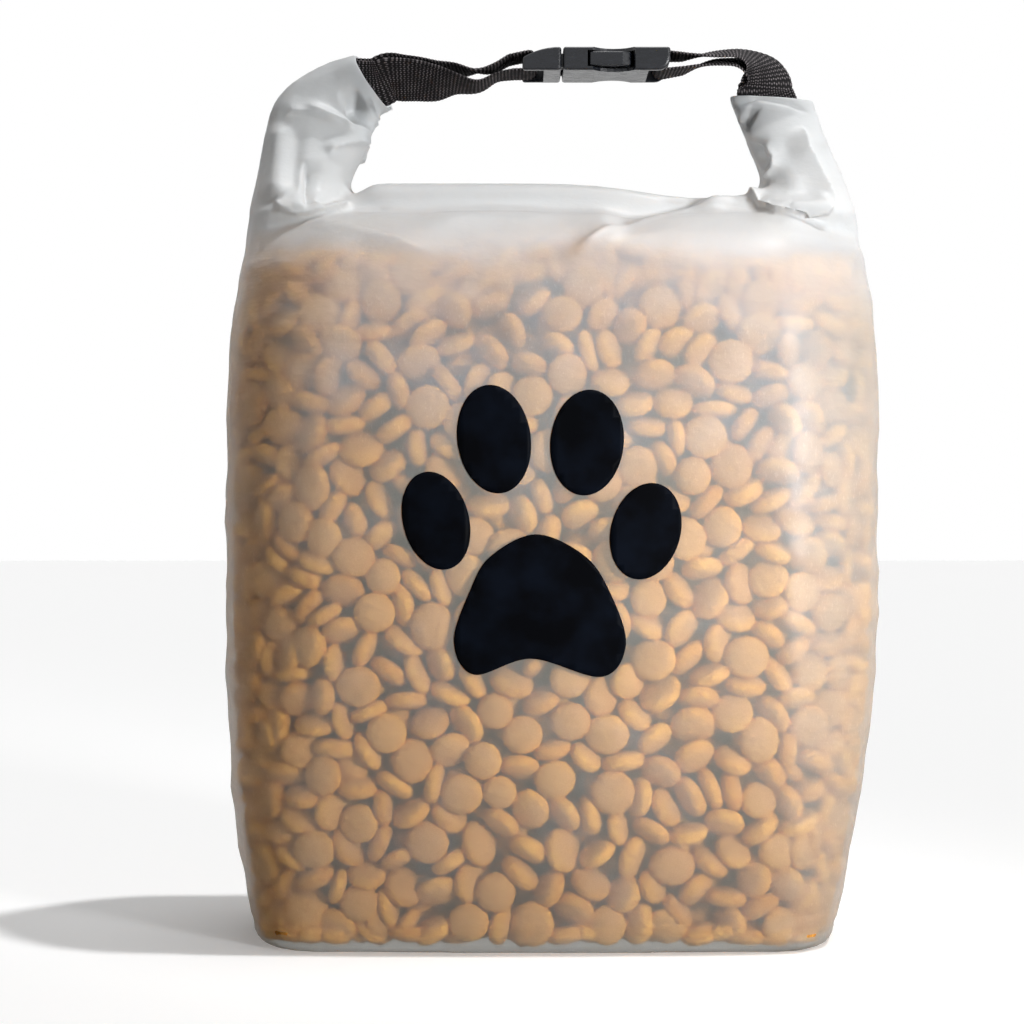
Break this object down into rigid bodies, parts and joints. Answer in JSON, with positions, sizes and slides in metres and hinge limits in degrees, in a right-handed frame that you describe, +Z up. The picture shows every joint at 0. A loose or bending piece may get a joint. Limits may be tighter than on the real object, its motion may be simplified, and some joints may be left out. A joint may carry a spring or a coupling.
{
  "type": "dog food bag",
  "caption": "Roll-top bag of frosted film filled with dry dog food, its mouth rolled shut and its ends turned up and joined by webbing and a side-release buckle as a handle.",
  "frame": {"origin": "centre of the bag's footprint on the floor", "axes": "+Z up, the printed front faces -Y, +X to the right when seen from the front"},
  "size_m": [0.2272, 0.1166, 0.3086],
  "materials": {
    "frosted_film": "frosted translucent film",
    "baked_kibble": "matt, baked",
    "dark_webbing": "coarse woven webbing",
    "black_acetal": "satin moulded",
    "black_print": "satin printed ink"
  },
  "bodies": {
    "root": {"bag_film": "frosted_film", "kibble_fill": "baked_kibble", "webbing_loop_left": "dark_webbing", "webbing_loop_right": "dark_webbing", "buckle_prong_half": "black_acetal", "buckle_socket_half": "black_acetal", "paw_print_pad": "black_print", "paw_print_outer_left_toe": "black_print", "paw_print_inner_left_toe": "black_print", "paw_print_inner_right_toe": "black_print", "paw_print_outer_right_toe": "black_print"}
  },
  "joints": []
}
